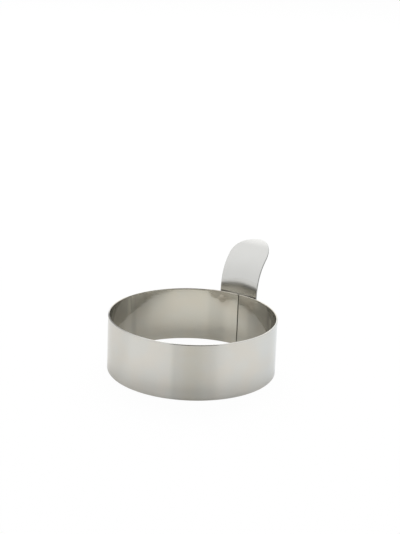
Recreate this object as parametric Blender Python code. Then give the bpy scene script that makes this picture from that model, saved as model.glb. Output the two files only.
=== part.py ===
"""Egg ring: a strip of stainless sheet rolled into a ring, with a bent leaf handle over its seam.

Metres, +Z up. The ring stands on z = 0 with its seam and its handle towards +Y. The origin lies on
the ground under the middle of the whole part, ring and handle together.
"""

import math

import bmesh
import bpy
from mathutils import Matrix

# Ring band: sizes of the rolled strip, whose two ends face each other across the seam
RING_DIAMETER = 0.090
BAND_HEIGHT = 0.030
BAND_THICKNESS = 0.0008
BAND_EDGE_BREAK = 0.0001
SEAM_GAP = 0.0005

# Leaf handle: one stamped blank, its foot rolled to the ring and its leaf bent outwards
HANDLE_WIDTH = 0.0236
HANDLE_THICKNESS = 0.0008
HANDLE_EDGE_BREAK = 0.0001
FOOT_CLEARANCE = 0.0003
FOOT_BASE_MARGIN = 0.0015
FOOT_CORNER_RADIUS = 0.0030
LEAF_LENGTH = 0.0368
LEAF_ROOT_LENGTH = 0.0091
LEAF_ROOT_RADIUS = 0.0490
LEAF_BEND_RADIUS = 0.0230
LEAF_TIP_LENGTH = 0.0145
LEAF_FLATTENING_LENGTH = 0.0270

# Spot welds: four nuggets between band and foot, and the dents that the electrodes leave
WELD_DIAMETER = 0.0034
WELD_SIDE_DISTANCE = 0.0026
WELD_END_DISTANCE = 0.0035
WELD_PENETRATION = 0.40
WELD_CLEARANCE = 0.0001
WELD_CHAMFER = 0.0001
DENT_DIAMETER = 0.0042
DENT_DEPTH = 0.00008

# How many facets, rows and columns the curved shapes have
BAND_FACET_COUNT = 168
BLANK_COLUMN_COUNT = 14
FOOT_CORNER_ROW_COUNT = 4
FOOT_ROW_COUNT = 4
ROOT_ROW_COUNT = 4
BEND_ROW_COUNT = 14
TIP_ROW_COUNT = 12
WELD_FACET_COUNT = 24
SHARP_ANGLE = math.radians(32)
MERGE_DISTANCE = 1e-7

# Sizes that follow from those above
RING_RADIUS = RING_DIAMETER / 2
FOOT_RADIUS = RING_RADIUS + FOOT_CLEARANCE
SEAM_ANGLE = SEAM_GAP / RING_RADIUS


def clear_scene():
    """Start from an empty scene."""
    for obj in list(bpy.data.objects):
        bpy.data.objects.remove(obj, do_unlink=True)


def steel(name, colour, roughness):
    """A plain stainless steel."""
    material = bpy.data.materials.new(name)
    material.use_nodes = True
    shader = material.node_tree.nodes["Principled BSDF"]
    shader.inputs["Base Color"].default_value = (*colour, 1.0)
    shader.inputs["Metallic"].default_value = 1.0
    shader.inputs["Roughness"].default_value = roughness
    return material


def placed_object(name, mesh, parent, material=None):
    """Turn a bmesh into an object under the ring's axis, shaded round where it is round."""
    bmesh.ops.remove_doubles(mesh, verts=mesh.verts, dist=MERGE_DISTANCE)
    bmesh.ops.recalc_face_normals(mesh, faces=mesh.faces)
    data = bpy.data.meshes.new(name)
    mesh.to_mesh(data)
    mesh.free()
    data.shade_smooth()
    data.set_sharp_from_angle(angle=SHARP_ANGLE)
    if material:
        data.materials.append(material)
    obj = bpy.data.objects.new(name, data)
    obj.parent = parent
    bpy.context.scene.collection.objects.link(obj)
    return obj


def broken_edge_section():
    """The strip's section as (radius, height) corners, upright, with its long edges broken."""
    inner = RING_RADIUS - BAND_THICKNESS
    outer = RING_RADIUS
    cut = BAND_EDGE_BREAK
    return [
        (inner + cut, 0.0),
        (outer - cut, 0.0),
        (outer, cut),
        (outer, BAND_HEIGHT - cut),
        (outer - cut, BAND_HEIGHT),
        (inner + cut, BAND_HEIGHT),
        (inner, BAND_HEIGHT - cut),
        (inner, cut),
    ]


def make_ring_band(parent, material):
    """Roll the strip once round the axis, from one side of the seam to the other."""
    mesh = bmesh.new()
    corners = [mesh.verts.new((radius, 0.0, height)) for radius, height in broken_edge_section()]
    mesh.faces.new(corners)
    seam_end = Matrix.Rotation((math.pi + SEAM_ANGLE) / 2, 3, "Z")
    bmesh.ops.rotate(mesh, verts=corners, cent=(0, 0, 0), matrix=seam_end)
    bmesh.ops.spin(
        mesh,
        geom=mesh.verts[:] + mesh.edges[:] + mesh.faces[:],
        cent=(0, 0, 0),
        axis=(0, 0, 1),
        angle=math.tau - SEAM_ANGLE,
        steps=BAND_FACET_COUNT,
    )
    return placed_object("ring_band", mesh, parent, material)


def blank_rows(inset):
    """The flat blank's outline as (along, half width) rows, drawn in from its edge by inset.

    Along runs up the blank, from the foot's lower edge to the tip, and is zero at the ring's rim.
    """
    half = HANDLE_WIDTH / 2 - inset
    corner = FOOT_CORNER_RADIUS - inset
    foot_start = FOOT_BASE_MARGIN - BAND_HEIGHT + inset
    tip = LEAF_TIP_LENGTH - inset
    tip_start = LEAF_LENGTH - LEAF_TIP_LENGTH
    rows = []
    for step in range(FOOT_CORNER_ROW_COUNT):
        turn = math.pi / 2 * step / FOOT_CORNER_ROW_COUNT
        rows.append((foot_start + corner * (1 - math.cos(turn)), half - corner * (1 - math.sin(turn))))
    stretches = (
        (foot_start + corner, 0.0, FOOT_ROW_COUNT),
        (0.0, LEAF_ROOT_LENGTH, ROOT_ROW_COUNT),
        (LEAF_ROOT_LENGTH, tip_start, BEND_ROW_COUNT),
    )
    for start, end, count in stretches:
        rows += [(start + (end - start) * step / count, half) for step in range(count)]
    for step in range(TIP_ROW_COUNT + 1):
        turn = math.pi / 2 * step / TIP_ROW_COUNT
        rows.append((tip_start + tip * math.sin(turn), half * math.cos(turn)))
    return rows


def leaf_course(along):
    """The leaf's lean, reach and rise from the rim on: a wide arc at the root, then a tighter one."""
    root_lean = min(along, LEAF_ROOT_LENGTH) / LEAF_ROOT_RADIUS
    lean = root_lean + max(along - LEAF_ROOT_LENGTH, 0.0) / LEAF_BEND_RADIUS
    reach = LEAF_ROOT_RADIUS * (1 - math.cos(root_lean))
    reach += LEAF_BEND_RADIUS * (math.cos(root_lean) - math.cos(lean))
    rise = LEAF_ROOT_RADIUS * math.sin(root_lean)
    rise += LEAF_BEND_RADIUS * (math.sin(lean) - math.sin(root_lean))
    return lean, reach, rise


def formed(across, along, lift):
    """Where a point of the flat blank ends up once the foot is rolled and the leaf is bent.

    Across runs sideways from the blank's centre line, and lift outwards from its inner face. The
    roll that fits the ring eases off above the rim until the leaf is flat across.
    """
    eased = min(max(along / LEAF_FLATTENING_LENGTH, 0.0), 1.0)
    roll = (1 + math.cos(math.pi * eased)) / (2 * FOOT_RADIUS)
    turn = roll * across
    sideways = math.sin(turn) / roll if roll > MERGE_DISTANCE else across
    drawn_in = (1 - math.cos(turn)) / roll if roll > MERGE_DISTANCE else 0.0
    lean, reach, rise = leaf_course(along) if along > 0 else (0.0, 0.0, along)
    off_sheet = lift * math.cos(turn) - drawn_in
    return (
        sideways + lift * math.sin(turn),
        FOOT_RADIUS + reach + off_sheet * math.cos(lean),
        BAND_HEIGHT + rise - off_sheet * math.sin(lean),
    )


def formed_grid(inset, lift):
    """Rows of places over the formed handle, drawn in from its edge by inset."""
    grid = []
    for along, half in blank_rows(inset):
        across = [half * (2 * step / BLANK_COLUMN_COUNT - 1) for step in range(BLANK_COLUMN_COUNT + 1)]
        grid.append([formed(place, along, lift) for place in across])
    return grid


def grid_border(grid):
    """What lies round the border of a grid, in order."""
    right = [row[-1] for row in grid[1:-1]]
    left = [row[0] for row in grid[1:-1]]
    return grid[0] + right + grid[-1][::-1] + left[::-1]


def make_face(mesh, lift):
    """One broad face of the handle, and the vertices round its border."""
    grid = [[mesh.verts.new(place) for place in row] for row in formed_grid(HANDLE_EDGE_BREAK, lift)]
    for low, high in zip(grid, grid[1:]):
        for left in range(BLANK_COLUMN_COUNT):
            mesh.faces.new((low[left], low[left + 1], high[left + 1], high[left]))
    return grid_border(grid)


def make_edge_line(mesh, lift):
    """Vertices round the blank's full outline."""
    return [mesh.verts.new(place) for place in grid_border(formed_grid(0.0, lift))]


def join_borders(mesh, first, second):
    """A strip of faces between two closed borders."""
    for index in range(len(first)):
        mesh.faces.new((first[index - 1], first[index], second[index], second[index - 1]))


def make_handle(parent, material):
    """Form the blank: its two faces, and between them the cut edge with both its corners broken."""
    mesh = bmesh.new()
    borders = [
        make_face(mesh, 0.0),
        make_edge_line(mesh, HANDLE_EDGE_BREAK),
        make_edge_line(mesh, HANDLE_THICKNESS - HANDLE_EDGE_BREAK),
        make_face(mesh, HANDLE_THICKNESS),
    ]
    for first, second in zip(borders, borders[1:]):
        join_borders(mesh, first, second)
    return placed_object("handle", mesh, parent, material)


def turned_mesh(profile):
    """A solid turned about its own Z axis from (radius, height) points that start and end on it."""
    mesh = bmesh.new()
    points = [mesh.verts.new((radius, 0.0, height)) for radius, height in profile]
    for pair in zip(points, points[1:]):
        mesh.edges.new(pair)
    bmesh.ops.spin(
        mesh,
        geom=mesh.verts[:] + mesh.edges[:],
        cent=(0, 0, 0),
        axis=(0, 0, 1),
        angle=math.tau,
        steps=WELD_FACET_COUNT,
        use_merge=True,
    )
    return mesh


def weld_places():
    """Each weld's name, its turn from the seam about the ring's axis, and its height."""
    turn = (HANDLE_WIDTH / 2 - WELD_SIDE_DISTANCE) / FOOT_RADIUS
    high = BAND_HEIGHT - WELD_END_DISTANCE
    low = FOOT_BASE_MARGIN + WELD_END_DISTANCE
    return (
        ("top_left", turn, high),
        ("top_right", -turn, high),
        ("bottom_left", turn, low),
        ("bottom_right", -turn, low),
    )


def stand_on_wall(obj, turn, radius, height, outwards=True):
    """Lay a turned shape's axis along the ring's radius, its top pointing outwards or inwards."""
    obj.location = (-radius * math.sin(turn), radius * math.cos(turn), height)
    obj.rotation_euler = (-math.pi / 2 if outwards else math.pi / 2, 0.0, turn)


def weld_profile():
    """The nugget's section: it crosses the gap and reaches into both sheets."""
    radius = WELD_DIAMETER / 2
    bottom = -WELD_PENETRATION * BAND_THICKNESS
    top = FOOT_CLEARANCE + WELD_PENETRATION * HANDLE_THICKNESS
    cut = WELD_CHAMFER
    return [
        (0.0, bottom),
        (radius - cut, bottom),
        (radius, bottom + cut),
        (radius, top - cut),
        (radius - cut, top),
        (0.0, top),
    ]


def pocket_profile():
    """The seat of a nugget in both sheets: the nugget's own size, a clearance larger all round."""
    radius = WELD_DIAMETER / 2 + WELD_CLEARANCE
    bottom = -WELD_PENETRATION * BAND_THICKNESS - WELD_CLEARANCE
    top = FOOT_CLEARANCE + WELD_PENETRATION * HANDLE_THICKNESS + WELD_CLEARANCE
    return [(0.0, bottom), (radius, bottom), (radius, top), (0.0, top)]


def electrode_profile():
    """The flat electrode that leaves a dent: its tip at the top and its flank at 45 degrees."""
    radius = DENT_DIAMETER / 2
    flank = BAND_THICKNESS / 2
    return [(0.0, -flank), (radius + flank, -flank), (radius, 0.0), (0.0, 0.0)]


def make_cutter(name, profile, parent, collection):
    """A shape that is only cut away: it shows as wire and is no piece of the part."""
    cutter = placed_object(name, turned_mesh(profile), parent)
    cutter.display_type = "WIRE"
    cutter.hide_render = True
    bpy.context.scene.collection.objects.unlink(cutter)
    collection.objects.link(cutter)
    return cutter


def cut_away(obj, collection):
    """Cut every shape in the collection out of the object."""
    boolean = obj.modifiers.new("weld_seats", "BOOLEAN")
    boolean.operation = "DIFFERENCE"
    boolean.operand_type = "COLLECTION"
    boolean.collection = collection
    boolean.solver = "EXACT"


def hidden_collection(name):
    """A collection for cutters, left out of renders."""
    collection = bpy.data.collections.new(name)
    collection.hide_render = True
    bpy.context.scene.collection.children.link(collection)
    return collection


def seat_welds(band, handle, parent, material):
    """Place the nuggets, cut their seats into both sheets and press the electrodes' dents."""
    band_cuts = hidden_collection("band_cuts")
    handle_cuts = hidden_collection("handle_cuts")
    band_face = RING_RADIUS - BAND_THICKNESS + DENT_DEPTH
    foot_face = FOOT_RADIUS + HANDLE_THICKNESS - DENT_DEPTH
    for place, turn, height in weld_places():
        weld = placed_object(f"weld_{place}", turned_mesh(weld_profile()), parent, material)
        stand_on_wall(weld, turn, RING_RADIUS, height)
        pocket = make_cutter(f"pocket_{place}", pocket_profile(), parent, band_cuts)
        handle_cuts.objects.link(pocket)
        stand_on_wall(pocket, turn, RING_RADIUS, height)
        inner_dent = make_cutter(f"inner_dent_{place}", electrode_profile(), parent, band_cuts)
        stand_on_wall(inner_dent, turn, band_face, height)
        outer_dent = make_cutter(f"outer_dent_{place}", electrode_profile(), parent, handle_cuts)
        stand_on_wall(outer_dent, turn, foot_face, height, outwards=False)
    cut_away(band, band_cuts)
    cut_away(handle, handle_cuts)


def make_egg_ring():
    """Put the whole part together round the ring's axis, then centre it over the origin."""
    axis = bpy.data.objects.new("ring_axis", None)
    bpy.context.scene.collection.objects.link(axis)
    band = make_ring_band(axis, steel("brushed_steel", (0.58, 0.57, 0.55), 0.30))
    handle = make_handle(axis, steel("polished_steel", (0.66, 0.65, 0.63), 0.15))
    seat_welds(band, handle, axis, steel("weld_metal", (0.42, 0.41, 0.40), 0.45))
    reach = max(vert.co.y for vert in handle.data.vertices)
    axis.location.y = (RING_RADIUS - reach) / 2


clear_scene()
make_egg_ring()
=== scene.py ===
"""Looks of the egg ring: a finely brushed band and a polished leaf handle on a white studio floor.

Metres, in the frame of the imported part: +Z up, seam and handle towards +Y. Places along the wall are
arcs of its outer face from the front, positive to the right as seen from there.
"""
import math

import bmesh
import bpy
from mathutils import Matrix, Vector


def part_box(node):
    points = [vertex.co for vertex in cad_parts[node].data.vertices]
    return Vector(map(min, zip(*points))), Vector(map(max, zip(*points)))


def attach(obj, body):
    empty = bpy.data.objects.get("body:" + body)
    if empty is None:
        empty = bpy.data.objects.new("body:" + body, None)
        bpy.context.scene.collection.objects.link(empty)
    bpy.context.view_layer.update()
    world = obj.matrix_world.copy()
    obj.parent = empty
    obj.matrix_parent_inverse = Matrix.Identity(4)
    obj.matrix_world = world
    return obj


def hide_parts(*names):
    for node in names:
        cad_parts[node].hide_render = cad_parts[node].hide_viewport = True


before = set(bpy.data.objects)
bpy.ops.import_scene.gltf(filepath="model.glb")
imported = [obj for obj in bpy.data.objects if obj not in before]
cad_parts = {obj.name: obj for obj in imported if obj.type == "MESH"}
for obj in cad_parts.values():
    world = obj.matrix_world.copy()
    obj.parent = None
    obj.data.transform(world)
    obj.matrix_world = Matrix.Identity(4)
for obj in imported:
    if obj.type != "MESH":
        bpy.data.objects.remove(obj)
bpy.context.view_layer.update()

# The photograph's frame in pixels, and where the middle of the ring's base lies in it
FRAME_WIDTH = 400
FRAME_HEIGHT = 534
BASE_CENTRE_X = 191.07
BASE_CENTRE_Y = 367.35

# The camera, about the middle of the ring's base
CAMERA_AZIMUTH = math.radians(34.25)
CAMERA_ELEVATION = math.radians(21.94)
CAMERA_ROLL = math.radians(2.075)
CAMERA_DISTANCE = 0.6980
FOCAL_PIXELS = 1295.4
SENSOR_SIZE = 36.0
CLIP_START = 0.01
CLIP_END = 50.0

# The ring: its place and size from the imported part, and its strip
BAND_LOW, BAND_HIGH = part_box("ring_band")
RING_RADIUS = (BAND_HIGH.x - BAND_LOW.x) / 2
RING_AXIS = Vector(((BAND_LOW.x + BAND_HIGH.x) / 2, (BAND_LOW.y + BAND_HIGH.y) / 2, 0.0))
BAND_HEIGHT = BAND_HIGH.z
BAND_THICKNESS = 0.0008
SEAM_GAP = 0.0005
RIM_OUTER_RADIUS = 0.00045
RIM_INNER_RADIUS = 0.00015
BASE_RADIUS = 0.00030

# The strip's ends, which stand out at the seam
SEAM_PEAK_LENGTH = 0.0060
SEAM_PEAK = 0.00012

# The wall's foot, drawn in on the left between two angles from the front
LEAN = 0.00060
LEAN_START = math.radians(-118)
LEAN_END = math.radians(-62)
LEAN_BLUR = math.radians(25)

# The handle, with the part's own sizes
HANDLE_WIDTH = 0.0236
HANDLE_THICKNESS = 0.0008
HANDLE_EDGE_RADIUS = 0.00012
FOOT_RADIUS = RING_RADIUS + 0.0003
FOOT_BASE = 0.0015
FOOT_CORNER_RADIUS = 0.0030
LEAF_LENGTH = 0.0368
LEAF_ROOT_LENGTH = 0.0091
LEAF_ROOT_RADIUS = 0.0490
LEAF_BEND_RADIUS = 0.0230
LEAF_TIP_LENGTH = 0.0145
LEAF_TIP_POINT = 1.20
LEAF_FLATTENING_LENGTH = 0.0270

# The spot welds: the electrodes' dents, and the rim pulled out to the handle above them
WELD_SIDE_DISTANCE = 0.0016
WELD_END_DISTANCE = 0.0042
DENT_RADIUS = 0.0028
DENT_DEPTH = 0.00010
PULL_DEPTH = 0.00022
PULL_REACH = 0.0067
PULL_REACH_TO_SEAM = 0.0052
PULL_START = 0.0248

# How finely the meshes are divided
EDGE_STEPS = 4
SEAM_ZONE = 0.016
SEAM_STEP = 0.0003
STRIP_STEP = 0.0008
HEIGHT_STEP = 0.0006
HANDLE_STEP = 0.0006
HANDLE_COLUMNS = 60
CORNER_STEPS = 12
TIP_STEPS = 32
TINY = 1e-7

# The band's steel, from dark to light and from warm to cool
BAND_DARK = (0.560, 0.553, 0.528, 1)
BAND_LIGHT = (0.610, 0.601, 0.570, 1)
TINT_WARM = (0.612, 0.585, 0.530, 1)
TINT_COOL = (0.575, 0.585, 0.565, 1)
TINT_STAINS = (0.35, 0.65)
TINT_SHARE = 0.40
BAND_ROUGHNESS = 0.070

# Faint upright stripes, lighter or darker, on the wall: each one's start and end along the wall, its blur
# and its level
INNER_MARKS = (
    (-0.0680, -0.0560, 0.0025, 0.86),
    (-0.0880, -0.0760, 0.0030, 0.95),
    (-0.0785, -0.0750, 0.0012, 0.89),
    (-0.1140, -0.0990, 0.0040, 1.02),
    (-0.1320, -0.1235, 0.0020, 0.90),
    (-0.1415, -0.1345, 0.0020, 1.09),
    (0.1340, 0.1415, 0.0020, 1.14),
    (0.1080, 0.1170, 0.0020, 0.87),
    (0.1185, 0.1270, 0.0020, 0.95),
)
OUTER_MARKS = (
    (0.0145, 0.0175, 0.0015, 1.05),
    (0.0370, 0.0440, 0.0020, 0.97),
)

# A paler stretch low on the inner wall, painted light: where it fades in, up the wall and along it, and its
# level
PAINTED_LIGHT_HEIGHTS = (0.0085, 0.0005)
PAINTED_LIGHT_PLACES = (-0.0700, -0.0850)
PAINTED_LIGHT_LEVEL = 1.18

# Where the rim is made dull and rough and painted lighter, a painted highlight: start and end along the
# wall, and their blur
DULL_HIGHLIT_RIM = (
    (-0.1500, -0.1230, 0.0030),
    (-0.0710, -0.0500, 0.0040),
    (0.0960, 0.1500, 0.0040),
)
DULL_HIGHLIT_HEIGHTS = (BAND_HEIGHT - 0.00055, BAND_HEIGHT - 0.0003)
RIM_HIGHLIGHT_COLOUR = (0.72, 0.69, 0.62, 1)
DULL_RIM_ROUGHNESS = 0.42

# A painted dark reflection on the rim's edge in front: where it fades in on the left and on the right, and
# up the edge
RIM_REFLECTION_LEFT = (-0.0460, -0.0380)
RIM_REFLECTION_RIGHT = (0.0100, -0.0300)
RIM_REFLECTION_HEIGHTS = (BAND_HEIGHT - 0.00018, BAND_HEIGHT - 0.00006)
RIM_REFLECTION_COLOUR = (0.08, 0.078, 0.072, 1)
RIM_REFLECTION_SHARE = 0.9

# The welds' heat on the band with a painted dark reflection of the dent, which shows lower and nearer to
# the seam than the weld, and the seam's soil
BAND_WELD_PATCH_DROP = 0.0006
BAND_WELD_PATCH_ASIDE = 0.0014
BAND_WELD_PATCH_REACH = (0.0058, 0.0020)
BAND_HEAT_AND_REFLECTION_COLOUR = (0.46, 0.42, 0.37, 1)
BAND_HEAT_AND_REFLECTION_SHARE = 0.40
BAND_WELD_PATCH_ROUGHNESS = 0.05
SOIL_REACH = (0.00045, 0.00030)
SOIL_COLOUR = (0.12, 0.11, 0.085, 1)
SOIL_SHARE = 0.4

# The handle's steel, duller at its root and darker there by a painted dark reflection, with the welds' heat
# and a painted shadow in the crevice at the rim
HANDLE_DARK = (0.615, 0.615, 0.598, 1)
HANDLE_LIGHT = (0.650, 0.650, 0.634, 1)
HANDLE_ROUGHNESS = 0.09
ROOT_REFLECTION_HEIGHTS = (0.0365, 0.0320)
ROOT_REFLECTION_COLOUR = (0.50, 0.485, 0.45, 1)
ROOT_REFLECTION_SHARE = 0.38
ROOT_DULL_HEIGHTS = (0.0420, 0.0350)
ROOT_ROUGHNESS = 0.10
FOOT_HEAT_REACH = (0.0040, 0.0022)
FOOT_HEAT_COLOUR = (0.36, 0.33, 0.28, 1)
FOOT_HEAT_SHARE = 0.5
CREVICE_PLACES = (0.0020, 0.0110)
CREVICE_HEIGHTS = (BAND_HEIGHT + 0.0001, BAND_HEIGHT + 0.0006)
CREVICE_BLUR = (0.0001, -0.0002)
CREVICE_SHADOW_COLOUR = (0.04, 0.035, 0.03, 1)
CREVICE_SHADOW_SHARE = 0.9

# Both sheets' shine, and the strength and depth of their relief
SHEET_METALLIC = 0.97
BAND_RELIEF = (0.35, 0.00002)
HANDLE_RELIEF = (0.3, 0.00002)
BAND_EDGE_TINT = (0.92, 0.92, 0.92, 1)
BAND_ANISOTROPY = 0.4
BAND_ANISOTROPY_TURN = 0.25

# What the metal sees round it: levels, and the dark patch's place as seen from the ring
SKY_LIGHT = 0.70
SKY_LOW = 0.97
SKY_HIGH = 1.13
SKY_TOP = math.radians(70)
SKY_BEHIND = 1.40
BEHIND_BACK = (0.2, 0.9)
BEHIND_HEIGHTS = (math.radians(16), math.radians(36))
BEHIND_LOW_SHARE = 0.4
PATCH_LEVEL = 0.08
PATCH_LEFT = math.radians(-30)
PATCH_RIGHT = math.radians(36)
PATCH_TOP = math.radians(80)
PATCH_BLUR = math.radians(4)

# A brighter panel low behind the ring: its height, how far back and how far aside it reaches, and its glow
PANEL_LOW = math.radians(12)
PANEL_HIGH = math.radians(31)
PANEL_BLUR = math.radians(4)
PANEL_BACK = (0.3, 0.8)
PANEL_ASIDE = (0.14, 0.05)
PANEL_GLOW = 0.75

# The lamp behind on the left, which lights the floor and no reflection shows
LAMP_SIZE = 1.3
LAMP_POWER = 22.0
LAMP_AZIMUTH = math.radians(211)
LAMP_ELEVATION = math.radians(45)
LAMP_DISTANCE = 1.5

# The floor: its size, its colours and how much of it glows by itself, for the camera and in reflections
FLOOR_RADIUS = 6.0
FLOOR_CORNERS = 96
FLOOR_COLOUR = 0.86
FLOOR_GLOW = 0.97
MIRRORED_LEVEL = 1.07
MIRRORED_GLOW = 0.35
MIRRORED_GLOW_INSIDE = 0.10
LIT_COLOUR = (1.015, 1.004, 0.985, 1)
# Painted warm light on the floor inside the ring, as metal sees it
INSIDE_WARM_LIGHT_COLOUR = (1.01, 0.98, 0.895, 1)

# The cooler light on the floor's two sides, between angles from the photograph's direction
SIDE_COLOUR = (0.98, 1.0, 1.02, 1)
SIDE_RIGHT = (math.radians(75), math.radians(118))
SIDE_LEFT = (math.radians(-105), math.radians(-150))

# The photographer's soft shadow, which fans out on the floor from in front of the ring's axis, and its core
SHADOW_COLOUR = (0.85, 0.84, 0.815, 1)
SHADOW_LEFT = math.radians(-28)
SHADOW_RIGHT = math.radians(31)
SHADOW_BLUR = math.radians(9)
SHADOW_CORE_COLOUR = (0.795, 0.78, 0.73, 1)
SHADOW_CORE_LEFT = math.radians(-10)
SHADOW_CORE_RIGHT = math.radians(16)
SHADOW_CORE_BLUR = math.radians(10)
LEFT_SHADOW_COLOUR = (0.94, 0.93, 0.91, 1)
LEFT_SHADOW_START = math.radians(-148)
LEFT_SHADOW_END = math.radians(-88)
LEFT_SHADOW_BLUR = math.radians(9)

# The floor beside the shadow, with painted shade: from dimmer near the wall to brighter further out
GRADED_START = math.radians(45)
GRADED_END = math.radians(118)
GRADED_BLUR = math.radians(12)
GRADED_DISTANCES = (RING_RADIUS + 0.012, RING_RADIUS + 0.050)
GRADED_LEVELS = (0.965, 1.018)

# The floor close to the wall in front, which glows less
CLOSE_LEFT = math.radians(-55)
CLOSE_RIGHT = math.radians(65)
CLOSE_BLUR = math.radians(15)
CLOSE_DISTANCES = (RING_RADIUS + 0.006, RING_RADIUS)
CLOSE_GLOW = 0.20

WHITE = (1, 1, 1, 1)


def node(tree, kind, **values):
    """A shader node with its properties and inputs set by name."""
    made = tree.nodes.new(kind)
    for name, value in values.items():
        if hasattr(made, name):
            setattr(made, name, value)
        else:
            made.inputs[name.replace("_", " ")].default_value = value
    return made


def link(tree, start, end):
    tree.links.new(start, end)


def set_or_link(tree, socket, value):
    if isinstance(value, bpy.types.NodeSocket):
        link(tree, value, socket)
    else:
        socket.default_value = value


def calculated(tree, operation, *values):
    """The output of a Math node."""
    made = node(tree, "ShaderNodeMath", operation=operation)
    for socket, value in zip(made.inputs, values):
        set_or_link(tree, socket, value)
    return made.outputs[0]


def times(tree, first, *others):
    """The product of numbers."""
    for other in others:
        first = calculated(tree, "MULTIPLY", first, other)
    return first


def eased(tree, value, start, end, low=0.0, high=1.0):
    """From low to high as value goes from start to end, with soft ends."""
    made = node(tree, "ShaderNodeMapRange", interpolation_type="SMOOTHSTEP")
    names = ("Value", "From Min", "From Max", "To Min", "To Max")
    for name, given in zip(names, (value, start, end, low, high)):
        set_or_link(tree, made.inputs[name], given)
    return made.outputs[0]


def between(tree, value, start, end, blur):
    """1 where value lies between start and end, with soft ends, and 0 elsewhere."""
    rise = eased(tree, value, start - blur, start + blur)
    fall = eased(tree, value, end + blur, end - blur)
    return times(tree, rise, fall)


def blended(tree, share, first, second):
    """A number between first and second."""
    made = node(tree, "ShaderNodeMix", data_type="FLOAT")
    for index, given in ((0, share), (2, first), (3, second)):
        set_or_link(tree, made.inputs[index], given)
    return made.outputs[0]


def mixed(tree, share, first, second):
    """A colour between first and second."""
    made = node(tree, "ShaderNodeMix", data_type="RGBA")
    for index, given in ((0, share), (6, first), (7, second)):
        set_or_link(tree, made.inputs[index], given)
    return made.outputs[2]


def scaled(tree, colour, level):
    """A colour times a number."""
    made = node(tree, "ShaderNodeVectorMath", operation="SCALE")
    link(tree, colour, made.inputs[0])
    set_or_link(tree, made.inputs["Scale"], level)
    return made.outputs[0]


def covered(tree, colour, where, share, cover):
    """A colour with a share of another over it."""
    return mixed(tree, times(tree, where, share), colour, cover)


def apart(tree, vector):
    """A vector's three parts."""
    parts = node(tree, "ShaderNodeSeparateXYZ")
    link(tree, vector, parts.inputs[0])
    return parts.outputs


def moved(tree, place, origin):
    """A place as seen from an origin."""
    made = node(tree, "ShaderNodeVectorMath", operation="SUBTRACT")
    link(tree, place, made.inputs[0])
    made.inputs[1].default_value = origin
    return made.outputs[0]


def studio_parts(tree, direction):
    """A direction's parts to the right, to the back and up, and its azimuth, in the studio.

    The studio is turned to the photograph's direction once and for all. It doesn't follow the camera.
    """
    turned = node(tree, "ShaderNodeVectorRotate", rotation_type="Z_AXIS", Angle=-CAMERA_AZIMUTH)
    link(tree, direction, turned.inputs["Vector"])
    rightwards, backwards, upwards = apart(tree, turned.outputs[0])
    azimuth = calculated(tree, "ARCTAN2", rightwards, times(tree, backwards, -1.0))
    return rightwards, backwards, upwards, azimuth


def grain(tree, *blotches, layer=0.0, detail=2.0):
    """Noise from 0 to 1 over up to three (place, size of a blotch) pairs. Each layer has its own."""
    combined = node(tree, "ShaderNodeCombineXYZ", Z=layer)
    for socket, (place, size) in zip(combined.inputs, blotches):
        link(tree, calculated(tree, "DIVIDE", place, size), socket)
    noise = node(tree, "ShaderNodeTexNoise", Scale=1.0, Detail=detail)
    link(tree, combined.outputs[0], noise.inputs["Vector"])
    return noise.outputs["Fac"]


def summed(tree, start, *terms):
    """start plus each (value from 0 to 1, centred; weight)."""
    total = start
    for value, weight in terms:
        centred = calculated(tree, "SUBTRACT", value, 0.5)
        total = calculated(tree, "ADD", total, times(tree, centred, weight))
    return total


def wall_places(tree):
    """A point's place on the ring's wall: along it from the front, height, and along it from the seam."""
    coordinates = node(tree, "ShaderNodeTexCoord")
    x, y, height = apart(tree, moved(tree, coordinates.outputs["Object"], RING_AXIS))
    turn = calculated(tree, "ARCTAN2", x, times(tree, y, -1.0))
    along = times(tree, turn, RING_RADIUS)
    from_seam = calculated(tree, "SUBTRACT", math.pi * RING_RADIUS, calculated(tree, "ABSOLUTE", along))
    return along, height, from_seam


def faces_axis(tree):
    """1 where the sheet faces the ring's axis, and 0 where it faces away."""
    coordinates = node(tree, "ShaderNodeTexCoord")
    level = node(tree, "ShaderNodeVectorMath", operation="MULTIPLY")
    link(tree, moved(tree, coordinates.outputs["Object"], RING_AXIS), level.inputs[0])
    level.inputs[1].default_value = (1, 1, 0)
    facing = node(tree, "ShaderNodeVectorMath", operation="DOT_PRODUCT")
    link(tree, coordinates.outputs["Normal"], facing.inputs[0])
    link(tree, level.outputs[0], facing.inputs[1])
    return calculated(tree, "LESS_THAN", facing.outputs["Value"], 0.0)


def heat(tree, from_seam, height, weld_heights, reach, aside=0.0):
    """From 0 to 1 nearer to a spot weld at one of the heights. It may lie aside towards the seam."""
    across = calculated(tree, "SUBTRACT", from_seam, HANDLE_WIDTH / 2 - WELD_SIDE_DISTANCE - aside)
    nearest = None
    for weld_height in weld_heights:
        rise = calculated(tree, "SUBTRACT", height, weld_height)
        squares = calculated(tree, "ADD", times(tree, across, across), times(tree, rise, rise))
        distance = calculated(tree, "SQRT", squares)
        nearest = distance if nearest is None else calculated(tree, "MINIMUM", nearest, distance)
    return eased(tree, nearest, *reach)


def marked(tree, colour, along, face, marks):
    """A colour with upright marks on one face of the sheet."""
    for start, end, blur, level in marks:
        mark = times(tree, between(tree, along, start, end, blur), face)
        colour = mixed(tree, mark, colour, scaled(tree, colour, level))
    return colour


def new_material(name):
    material = bpy.data.materials.new(name)
    material.use_nodes = True
    tree = material.node_tree
    return material, tree, tree.nodes["Principled BSDF"]


def roughen(tree, shader, height, strength, distance):
    """Fine relief in the shader's normal."""
    bump = node(tree, "ShaderNodeBump", Strength=strength, Distance=distance)
    link(tree, height, bump.inputs["Height"])
    link(tree, bump.outputs["Normal"], shader.inputs["Normal"])


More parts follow.
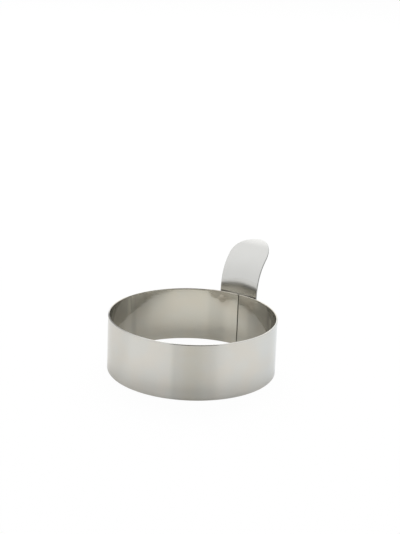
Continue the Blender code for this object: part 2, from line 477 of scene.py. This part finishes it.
def brushed_steel():
    """Stainless sheet brushed along the strip, with faint roll marks, streaks, stains, heat tint and
    painted light.
    """
    material, tree, shader = new_material("band_steel")
    along, height, from_seam = wall_places(tree)
    inner = faces_axis(tree)
    outer = calculated(tree, "SUBTRACT", 1.0, inner)
    hair = grain(tree, (along, 0.012), (height, 0.00012))
    streak = grain(tree, (along, 0.035), (height, 0.0009), layer=4.0)
    roll = grain(tree, (along, 0.0065), (height, 0.12), layer=8.0)
    stain = grain(tree, (along, 0.011), (height, 0.010), layer=12.0, detail=3.0)

    tone = summed(tree, 0.5, (hair, 0.5), (streak, 0.8), (roll, 0.9), (stain, 0.5))
    colour = mixed(tree, tone, BAND_DARK, BAND_LIGHT)
    tint = mixed(tree, eased(tree, stain, *TINT_STAINS), TINT_WARM, TINT_COOL)
    colour = mixed(tree, TINT_SHARE, colour, tint)
    colour = marked(tree, colour, along, inner, INNER_MARKS)
    colour = marked(tree, colour, along, outer, OUTER_MARKS)

    # Painted light: a paler stretch low on the inner wall
    painted_light = times(tree, eased(tree, height, *PAINTED_LIGHT_HEIGHTS), eased(tree, along, *PAINTED_LIGHT_PLACES), inner)
    colour = scaled(tree, colour, blended(tree, painted_light, 1.0, PAINTED_LIGHT_LEVEL))
    # Heat tint by the upper weld, and a painted dark reflection of the dent there
    weld_heights = [BAND_HEIGHT - WELD_END_DISTANCE - BAND_WELD_PATCH_DROP]
    weld_patch = heat(tree, from_seam, height, weld_heights, BAND_WELD_PATCH_REACH, BAND_WELD_PATCH_ASIDE)
    colour = covered(tree, colour, weld_patch, BAND_HEAT_AND_REFLECTION_SHARE, BAND_HEAT_AND_REFLECTION_COLOUR)
    colour = covered(tree, colour, eased(tree, from_seam, *SOIL_REACH), SOIL_SHARE, SOIL_COLOUR)

    # Painted highlight on the rim's edge, which is also made dull and rough
    dull_highlit_rim = 0.0
    for start, end, blur in DULL_HIGHLIT_RIM:
        dull_highlit_rim = calculated(tree, "MAXIMUM", dull_highlit_rim, between(tree, along, start, end, blur))
    dull_highlit_rim = times(tree, dull_highlit_rim, eased(tree, height, *DULL_HIGHLIT_HEIGHTS))
    colour = mixed(tree, dull_highlit_rim, colour, RIM_HIGHLIGHT_COLOUR)
    # Painted dark reflection along the rim's edge in front
    dark_rim_reflection = times(tree, eased(tree, along, *RIM_REFLECTION_LEFT), eased(tree, along, *RIM_REFLECTION_RIGHT),
                 eased(tree, height, *RIM_REFLECTION_HEIGHTS))
    colour = covered(tree, colour, dark_rim_reflection, RIM_REFLECTION_SHARE, RIM_REFLECTION_COLOUR)
    link(tree, colour, shader.inputs["Base Color"])

    rough = summed(tree, BAND_ROUGHNESS, (hair, 0.04), (streak, 0.04), (stain, 0.03))
    rough = blended(tree, dull_highlit_rim, rough, DULL_RIM_ROUGHNESS)
    rough = calculated(tree, "ADD", rough, times(tree, weld_patch, BAND_WELD_PATCH_ROUGHNESS))
    link(tree, rough, shader.inputs["Roughness"])
    shader.inputs["Metallic"].default_value = SHEET_METALLIC
    shader.inputs["Specular Tint"].default_value = BAND_EDGE_TINT
    shader.inputs["Anisotropic"].default_value = BAND_ANISOTROPY
    shader.inputs["Anisotropic Rotation"].default_value = BAND_ANISOTROPY_TURN
    tangent = node(tree, "ShaderNodeTangent", direction_type="RADIAL", axis="Z")
    link(tree, tangent.outputs["Tangent"], shader.inputs["Tangent"])
    relief = summed(tree, 0.5, (hair, 0.25), (streak, 0.6), (stain, 1.2))
    roughen(tree, shader, relief, *BAND_RELIEF)
    return material


def polished_steel():
    """Stainless sheet polished nearly to a mirror, hazy in places, tinted by the welds' heat and with
    painted shade.
    """
    material, tree, shader = new_material("handle_steel")
    coordinates = node(tree, "ShaderNodeTexCoord")
    x, y, z = apart(tree, coordinates.outputs["Object"])
    _, height, from_seam = wall_places(tree)
    haze = grain(tree, (x, 0.007), (y, 0.009), (z, 0.012), detail=3.0)
    line = grain(tree, (x, 0.00025), (y, 0.02), (z, 0.02))

    tone = summed(tree, 0.5, (haze, 1.0), (line, 0.5))
    colour = mixed(tree, tone, HANDLE_DARK, HANDLE_LIGHT)
    # Painted dark reflection, darker towards the root and over the foot
    colour = covered(tree, colour, eased(tree, height, *ROOT_REFLECTION_HEIGHTS), ROOT_REFLECTION_SHARE, ROOT_REFLECTION_COLOUR)
    weld_heights = [BAND_HEIGHT - WELD_END_DISTANCE, FOOT_BASE + WELD_END_DISTANCE]
    weld_patch = heat(tree, from_seam, height, weld_heights, FOOT_HEAT_REACH)
    colour = covered(tree, colour, weld_patch, FOOT_HEAT_SHARE, FOOT_HEAT_COLOUR)
    # Painted shadow in the crevice above the rim, on the face towards the axis
    crevice_top = eased(tree, from_seam, *CREVICE_PLACES, *CREVICE_HEIGHTS)
    crevice = eased(tree, calculated(tree, "SUBTRACT", height, crevice_top), *CREVICE_BLUR)
    crevice = times(tree, crevice, faces_axis(tree))
    colour = covered(tree, colour, crevice, CREVICE_SHADOW_SHARE, CREVICE_SHADOW_COLOUR)
    link(tree, colour, shader.inputs["Base Color"])

    rough = summed(tree, HANDLE_ROUGHNESS, (haze, 0.07), (line, 0.03))
    dulled = eased(tree, height, *ROOT_DULL_HEIGHTS)
    rough = calculated(tree, "ADD", rough, times(tree, dulled, ROOT_ROUGHNESS))
    link(tree, rough, shader.inputs["Roughness"])
    shader.inputs["Metallic"].default_value = SHEET_METALLIC
    roughen(tree, shader, haze, *HANDLE_RELIEF)
    return material


def dull_steel(name, scale, detail, dark, light, rough, rough_range, relief):
    """Steel with a dull speckled grain all over. The relief is its strength and its depth."""
    material, tree, shader = new_material(name)
    coordinates = node(tree, "ShaderNodeTexCoord")
    noise = node(tree, "ShaderNodeTexNoise", Scale=scale, Detail=detail)
    link(tree, coordinates.outputs["Object"], noise.inputs["Vector"])
    speck = noise.outputs["Fac"]
    link(tree, mixed(tree, speck, dark, light), shader.inputs["Base Color"])
    link(tree, summed(tree, rough, (speck, rough_range)), shader.inputs["Roughness"])
    shader.inputs["Metallic"].default_value = 1.0
    roughen(tree, shader, speck, *relief)
    return material


def cut_steel():
    """The blank's sheared edge: darker, dull, and scored through the sheet's thickness."""
    dark, light = (0.20, 0.195, 0.185, 1), (0.42, 0.415, 0.40, 1)
    return dull_steel("cut_steel", 1800.0, 3.0, dark, light, 0.38, 0.25, (0.5, 0.00003))


def weld_metal():
    """Melted steel, dull and tinted brown and blue."""
    brown, blue = (0.36, 0.31, 0.26, 1), (0.42, 0.43, 0.46, 1)
    return dull_steel("weld_steel", 900.0, 4.0, brown, blue, 0.45, 0.3, (0.6, 0.00005))


def finished(name, mesh, materials, cad_node):
    """Turn a bmesh into a smooth piece that rides on the part and stands for its CAD node."""
    bmesh.ops.remove_doubles(mesh, verts=mesh.verts, dist=TINY)
    bmesh.ops.recalc_face_normals(mesh, faces=mesh.faces)
    data = bpy.data.meshes.new(name)
    mesh.to_mesh(data)
    mesh.free()
    data.shade_smooth()
    for material in materials:
        data.materials.append(material)
    piece = bpy.data.objects.new(name, data)
    bpy.context.scene.collection.objects.link(piece)
    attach(piece, "root")
    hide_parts(cad_node)


def spaced(start, end, step):
    """Places from start to end, both included, about a step apart."""
    count = max(1, math.ceil(abs(end - start) / step))
    return [start + (end - start) * index / count for index in range(count + 1)]


def quarter_turns(steps):
    """Angles from 0 to a quarter turn, both included."""
    return [math.pi / 2 * step / steps for step in range(steps + 1)]


def rounded_corner(centre, radius, start):
    """A quarter circle of points round a centre, from an angle on."""
    turns = [start + turn for turn in quarter_turns(EDGE_STEPS)]
    return [(centre[0] + radius * math.cos(t), centre[1] + radius * math.sin(t)) for t in turns]


def soft_step(value):
    """From 0 to 1 with soft ends."""
    value = min(max(value, 0.0), 1.0)
    return value * value * (3 - 2 * value)


def band_section():
    """The band's section as (offset from the inner face, height) points, all the way round."""
    base, inner, outer = BASE_RADIUS, RIM_INNER_RADIUS, RIM_OUTER_RADIUS
    outer_heights = spaced(base, BAND_HEIGHT - outer, HEIGHT_STEP)[1:-1]
    inner_heights = spaced(BAND_HEIGHT - inner, base, HEIGHT_STEP)[1:-1]
    section = rounded_corner((BAND_THICKNESS - base, base), base, -math.pi / 2)
    section += [(BAND_THICKNESS, height) for height in outer_heights]
    section += rounded_corner((BAND_THICKNESS - outer, BAND_HEIGHT - outer), outer, 0.0)
    section += rounded_corner((inner, BAND_HEIGHT - inner), inner, math.pi / 2)
    section += [(0.0, height) for height in inner_heights]
    section += rounded_corner((base, base), base, math.pi)
    return section


def weld_centres():
    """(Arc from the seam, height) of each weld."""
    across = HANDLE_WIDTH / 2 - WELD_SIDE_DISTANCE
    high = BAND_HEIGHT - WELD_END_DISTANCE
    low = FOOT_BASE + WELD_END_DISTANCE
    return [(side * across, height) for side in (-1, 1) for height in (high, low)]


def dent(arc, height):
    """How deep the electrodes pressed the sheet in, at an arc from the seam and a height."""
    depth = 0.0
    for weld_arc, weld_height in weld_centres():
        reach = math.hypot(arc - weld_arc, height - weld_height) / DENT_RADIUS
        if reach < 1:
            depth += DENT_DEPTH * (1 - reach * reach) ** 2
    return depth


def pull(arc, height):
    """How far the wall's top is pulled out to the handle beside the upper welds."""
    rise = (height - PULL_START) / (BAND_HEIGHT - PULL_START)
    if rise <= 0:
        return 0.0
    aside = abs(arc) - HANDLE_WIDTH / 2 + WELD_SIDE_DISTANCE
    fading = (aside / PULL_REACH) ** 4 if aside > 0 else abs(aside / PULL_REACH_TO_SEAM) ** 1.7
    return PULL_DEPTH * rise ** 1.2 * math.exp(-fading)


def lean(turn, height):
    """How far the wall's foot draws in on the left, where the strip isn't rolled quite upright.

    Turn is the angle from the front.
    """
    share = soft_step((turn - LEAN_START) / LEAN_BLUR) * soft_step((LEAN_END - turn) / LEAN_BLUR)
    return -LEAN * share * (1 - height / BAND_HEIGHT)


def peak(arc):
    """How far the strip's ends stand out at the seam, where the rolls left them almost straight."""
    share = max(0.0, 1 - abs(arc) / SEAM_PEAK_LENGTH)
    return SEAM_PEAK * share * share


def make_band(materials):
    """The rolled strip, finely divided near the seam, with the dents on its inner face."""
    mesh = bmesh.new()
    section = band_section()
    inner_radius = RING_RADIUS - BAND_THICKNESS
    whole = math.tau * RING_RADIUS
    start, end = SEAM_GAP / 2, whole - SEAM_GAP / 2
    arcs = spaced(start, SEAM_ZONE, SEAM_STEP)
    arcs += spaced(SEAM_ZONE, end - SEAM_ZONE, STRIP_STEP)[1:-1]
    arcs += spaced(end - SEAM_ZONE, end, SEAM_STEP)
    rings = []
    for arc in arcs:
        turn = math.pi / 2 + arc / RING_RADIUS
        signed = arc if arc < whole / 2 else arc - whole
        from_front = arc / RING_RADIUS - math.pi
        ring = []
        for offset, height in section:
            pressed = dent(signed, height) if offset == 0.0 else 0.0
            radius = inner_radius + offset + pressed
            radius += peak(signed) + pull(signed, height) + lean(from_front, height)
            place = Vector((radius * math.cos(turn), radius * math.sin(turn), height))
            ring.append(mesh.verts.new(place + RING_AXIS))
        rings.append(ring)
    for first, second in zip(rings, rings[1:]):
        for index in range(len(section)):
            mesh.faces.new((first[index - 1], first[index], second[index], second[index - 1]))
    mesh.faces.new(rings[0])
    mesh.faces.new(rings[-1])
    finished("ring_band_finished", mesh, materials, "ring_band")


def blank_rows(inset):
    """The flat blank's outline as (along, half width) rows, drawn in from its edge by inset."""
    half = HANDLE_WIDTH / 2 - inset
    corner = FOOT_CORNER_RADIUS - inset
    foot_start = FOOT_BASE - BAND_HEIGHT + inset
    tip = LEAF_TIP_LENGTH - inset
    tip_start = LEAF_LENGTH - LEAF_TIP_LENGTH
    rows = []
    for turn in quarter_turns(CORNER_STEPS)[:-1]:
        rows.append((foot_start + corner * (1 - math.cos(turn)), half - corner * (1 - math.sin(turn))))
    rows += [(along, half) for along in spaced(foot_start + corner, tip_start, HANDLE_STEP)[:-1]]
    for turn in quarter_turns(TIP_STEPS):
        narrowed = half * max(math.cos(turn), 0.0) ** LEAF_TIP_POINT
        rows.append((tip_start + tip * math.sin(turn), narrowed))
    return rows


def leaf_course(along):
    """The leaf's bend, reach and rise from the rim on: a wide arc at the root, then a tighter one."""
    root_bend = min(along, LEAF_ROOT_LENGTH) / LEAF_ROOT_RADIUS
    bend = root_bend + max(along - LEAF_ROOT_LENGTH, 0.0) / LEAF_BEND_RADIUS
    reach = LEAF_ROOT_RADIUS * (1 - math.cos(root_bend))
    reach += LEAF_BEND_RADIUS * (math.cos(root_bend) - math.cos(bend))
    rise = LEAF_ROOT_RADIUS * math.sin(root_bend)
    rise += LEAF_BEND_RADIUS * (math.sin(bend) - math.sin(root_bend))
    return bend, reach, rise


def formed(across, along, lift):
    """Where a point of the flat blank ends up once the foot is rolled and the leaf is bent."""
    flattened = min(max(along / LEAF_FLATTENING_LENGTH, 0.0), 1.0)
    roll = (1 + math.cos(math.pi * flattened)) / (2 * FOOT_RADIUS)
    turn = roll * across
    sideways = math.sin(turn) / roll if roll > TINY else across
    drawn_in = (1 - math.cos(turn)) / roll if roll > TINY else 0.0
    bend, reach, rise = leaf_course(along) if along > 0 else (0.0, 0.0, along)
    off_sheet = lift * math.cos(turn) - drawn_in
    place = Vector((
        sideways + lift * math.sin(turn),
        FOOT_RADIUS + reach + off_sheet * math.cos(bend),
        BAND_HEIGHT + rise - off_sheet * math.sin(bend),
    ))
    return place + RING_AXIS


def handle_grid(inset, lift):
    """Rows of formed points over the blank, with the dents on the foot's outer face."""
    grid = []
    outer_face = lift > HANDLE_THICKNESS / 2
    for along, half in blank_rows(inset):
        row = []
        for step in range(HANDLE_COLUMNS + 1):
            across = half * (2 * step / HANDLE_COLUMNS - 1)
            pressed = dent(across, BAND_HEIGHT + along) if along < 0 and outer_face else 0.0
            row.append(formed(across, along, lift - pressed))
        grid.append(row)
    return grid


def grid_border(grid):
    right = [row[-1] for row in grid[1:-1]]
    left = [row[0] for row in grid[1:-1]]
    return grid[0] + right + grid[-1][::-1] + left[::-1]


def make_handle(materials):
    """The formed blank with its edge rounded all the way."""
    mesh = bmesh.new()
    borders = []
    low = [(HANDLE_EDGE_RADIUS * (1 - math.sin(t)), HANDLE_EDGE_RADIUS * (1 - math.cos(t)))
           for t in quarter_turns(EDGE_STEPS)]
    levels = low + [(inset, HANDLE_THICKNESS - lift) for inset, lift in reversed(low)]
    for index, (inset, lift) in enumerate(levels):
        grid = handle_grid(inset, lift)
        if index in (0, len(levels) - 1):
            verts = [[mesh.verts.new(place) for place in row] for row in grid]
            for first, second in zip(verts, verts[1:]):
                for left in range(len(first) - 1):
                    mesh.faces.new((first[left], first[left + 1], second[left + 1], second[left]))
            borders.append(grid_border(verts))
        else:
            borders.append([mesh.verts.new(place) for place in grid_border(grid)])
    for first, second in zip(borders, borders[1:]):
        for index in range(len(first)):
            face = mesh.faces.new((first[index - 1], first[index], second[index], second[index - 1]))
            face.material_index = 1
    finished("handle_finished", mesh, materials, "handle")


def direction(azimuth, elevation):
    """The way from the ring to something at an azimuth from the front and an elevation."""
    return Vector((
        math.sin(azimuth) * math.cos(elevation),
        -math.cos(azimuth) * math.cos(elevation),
        math.sin(elevation),
    ))


def floor_tint(tree, azimuth, from_axis, inside):
    """The floor's colour: lit, dimmed where the photographer's shadow fans out from the ring."""
    aside = calculated(tree, "MAXIMUM", eased(tree, azimuth, *SIDE_RIGHT), eased(tree, azimuth, *SIDE_LEFT))
    tint = mixed(tree, aside, LIT_COLOUR, SIDE_COLOUR)
    for start, end, blur, colour in (
        (LEFT_SHADOW_START, LEFT_SHADOW_END, LEFT_SHADOW_BLUR, LEFT_SHADOW_COLOUR),
        (SHADOW_LEFT, SHADOW_RIGHT, SHADOW_BLUR, SHADOW_COLOUR),
        (SHADOW_CORE_LEFT, SHADOW_CORE_RIGHT, SHADOW_CORE_BLUR, SHADOW_CORE_COLOUR),
    ):
        tint = mixed(tree, between(tree, azimuth, start, end, blur), tint, colour)
    # Painted shade: the floor dimmer near the wall beside the shadow
    either_side = calculated(tree, "ABSOLUTE", azimuth)
    graded = between(tree, either_side, GRADED_START, GRADED_END, GRADED_BLUR)
    level = eased(tree, from_axis, *GRADED_DISTANCES, *GRADED_LEVELS)
    tint = scaled(tree, tint, blended(tree, graded, 1.0, level))
    # Painted warm light on the floor inside the ring
    return mixed(tree, inside, tint, INSIDE_WARM_LIGHT_COLOUR)


def make_floor():
    """A white floor: plain white for the camera but for a trace of shadow. Metal sees it tinted."""
    bpy.ops.mesh.primitive_circle_add(vertices=FLOOR_CORNERS, radius=FLOOR_RADIUS, fill_type="NGON")
    floor = bpy.context.object
    floor.name = "floor"
    material, tree, shader = new_material("floor_white")
    tree.nodes.remove(shader)
    place = node(tree, "ShaderNodeNewGeometry").outputs["Position"]
    shadow_apex = RING_AXIS + direction(CAMERA_AZIMUTH, 0.0) * RING_RADIUS / 2
    azimuth = studio_parts(tree, moved(tree, place, shadow_apex))[-1]
    distance = node(tree, "ShaderNodeVectorMath", operation="DISTANCE")
    link(tree, place, distance.inputs[0])
    distance.inputs[1].default_value = RING_AXIS
    from_axis = distance.outputs["Value"]
    inside = calculated(tree, "LESS_THAN", from_axis, RING_RADIUS)

    path = node(tree, "ShaderNodeLightPath")
    to_camera = path.outputs["Is Camera Ray"]
    in_metal, in_glass = path.outputs["Is Glossy Ray"], path.outputs["Is Transmission Ray"]
    mirrored = calculated(tree, "MAXIMUM", in_metal, in_glass)
    seen = mixed(tree, to_camera, floor_tint(tree, azimuth, from_axis, inside), WHITE)
    diffuse = node(tree, "ShaderNodeBsdfDiffuse")
    link(tree, scaled(tree, seen, FLOOR_COLOUR), diffuse.inputs["Color"])
    glow = node(tree, "ShaderNodeEmission")
    link(tree, seen, glow.inputs["Color"])
    link(tree, blended(tree, mirrored, 1.0, MIRRORED_LEVEL), glow.inputs["Strength"])

    close = times(tree, eased(tree, from_axis, *CLOSE_DISTANCES),
                  between(tree, azimuth, CLOSE_LEFT, CLOSE_RIGHT, CLOSE_BLUR))
    outer_share = blended(tree, close, MIRRORED_GLOW, CLOSE_GLOW)
    mirrored_share = blended(tree, inside, outer_share, MIRRORED_GLOW_INSIDE)
    share = calculated(tree, "ADD", times(tree, to_camera, FLOOR_GLOW),
                       times(tree, mirrored, mirrored_share))
    mix = node(tree, "ShaderNodeMixShader")
    link(tree, share, mix.inputs[0])
    link(tree, diffuse.outputs[0], mix.inputs[1])
    link(tree, glow.outputs[0], mix.inputs[2])
    link(tree, mix.outputs[0], tree.nodes["Material Output"].inputs["Surface"])
    floor.data.materials.append(material)


def make_world():
    """White all round for the camera. Metal sees a bright studio with a dark patch in front."""
    world = bpy.data.worlds.new("studio")
    bpy.context.scene.world = world
    world.use_nodes = True
    tree = world.node_tree
    background = tree.nodes["Background"]
    path = node(tree, "ShaderNodeLightPath")
    coordinates = node(tree, "ShaderNodeTexCoord")
    rightwards, backwards, upwards, azimuth = studio_parts(tree, coordinates.outputs["Generated"])
    elevation = calculated(tree, "ARCSINE", upwards)

    patch = times(tree, between(tree, azimuth, PATCH_LEFT, PATCH_RIGHT, PATCH_BLUR),
                  eased(tree, elevation, PATCH_TOP + PATCH_BLUR, PATCH_TOP - PATCH_BLUR))
    sides = eased(tree, elevation, 0.0, SKY_TOP, SKY_LOW, SKY_HIGH)
    behind = times(tree, eased(tree, backwards, *BEHIND_BACK, 0.0, SKY_BEHIND - SKY_LOW),
                   eased(tree, elevation, *BEHIND_HEIGHTS, BEHIND_LOW_SHARE, 1.0))
    panel = times(tree, between(tree, elevation, PANEL_LOW, PANEL_HIGH, PANEL_BLUR),
                  eased(tree, backwards, *PANEL_BACK),
                  eased(tree, calculated(tree, "ABSOLUTE", rightwards), *PANEL_ASIDE))
    behind = calculated(tree, "ADD", behind, times(tree, panel, PANEL_GLOW))
    sky = calculated(tree, "MAXIMUM", sides, calculated(tree, "ADD", behind, SKY_LOW))

    seen = blended(tree, patch, sky, PATCH_LEVEL)
    level = blended(tree, path.outputs["Is Glossy Ray"], SKY_LIGHT, seen)
    to_camera, in_glass = path.outputs["Is Camera Ray"], path.outputs["Is Transmission Ray"]
    straight = calculated(tree, "MAXIMUM", to_camera, in_glass)
    link(tree, blended(tree, straight, level, 1.0), background.inputs["Strength"])
    background.inputs["Color"].default_value = WHITE


def make_lamp():
    """A soft square lamp that faces the ring."""
    data = bpy.data.lights.new("key_lamp", "AREA")
    data.size = LAMP_SIZE
    data.energy = LAMP_POWER
    lamp = bpy.data.objects.new("key_lamp", data)
    lamp.visible_glossy = False
    bpy.context.scene.collection.objects.link(lamp)
    away = direction(LAMP_AZIMUTH, LAMP_ELEVATION)
    lamp.location = RING_AXIS + away * LAMP_DISTANCE
    lamp.rotation_mode = "QUATERNION"
    lamp.rotation_quaternion = away.to_track_quat("Z", "Y")


def turned_together(first, second, angle):
    """Two square directions, turned in their plane from the first towards the second."""
    return (
        first * math.cos(angle) + second * math.sin(angle),
        second * math.cos(angle) - first * math.sin(angle),
    )


def make_camera():
    """The photograph's camera: it looks at the middle of the base, then turns to put it in its place."""
    back = direction(CAMERA_AZIMUTH, CAMERA_ELEVATION)
    looking = -back
    right = Vector((math.cos(CAMERA_AZIMUTH), math.sin(CAMERA_AZIMUTH), 0.0))
    up = right.cross(looking).normalized()
    yaw = math.atan((BASE_CENTRE_X - FRAME_WIDTH / 2) / FOCAL_PIXELS)
    pitch = math.atan((BASE_CENTRE_Y - FRAME_HEIGHT / 2) / FOCAL_PIXELS)
    right, up = turned_together(right, up, CAMERA_ROLL)
    right, looking = turned_together(right, looking, yaw)
    looking, up = turned_together(looking, up, pitch)
    data = bpy.data.cameras.new("photo_camera")
    data.sensor_width = SENSOR_SIZE
    data.sensor_fit = "AUTO"
    data.lens = FOCAL_PIXELS * SENSOR_SIZE / FRAME_HEIGHT
    data.clip_start = CLIP_START
    data.clip_end = CLIP_END
    camera = bpy.data.objects.new("photo_camera", data)
    bpy.context.scene.collection.objects.link(camera)
    turn = Matrix((right, up, -looking)).transposed()
    camera.matrix_world = Matrix.Translation(RING_AXIS + back * CAMERA_DISTANCE) @ turn.to_4x4()
    bpy.context.scene.camera = camera


make_camera()
make_world()
make_floor()
make_lamp()
bpy.context.scene.view_settings.view_transform = "Standard"
bpy.context.scene.cycles.glossy_bounces = 12

make_band([brushed_steel()])
make_handle([polished_steel(), cut_steel()])
weld_material = weld_metal()
for name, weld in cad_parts.items():
    if name.startswith("weld"):
        weld.data.materials.clear()
        weld.data.materials.append(weld_material)
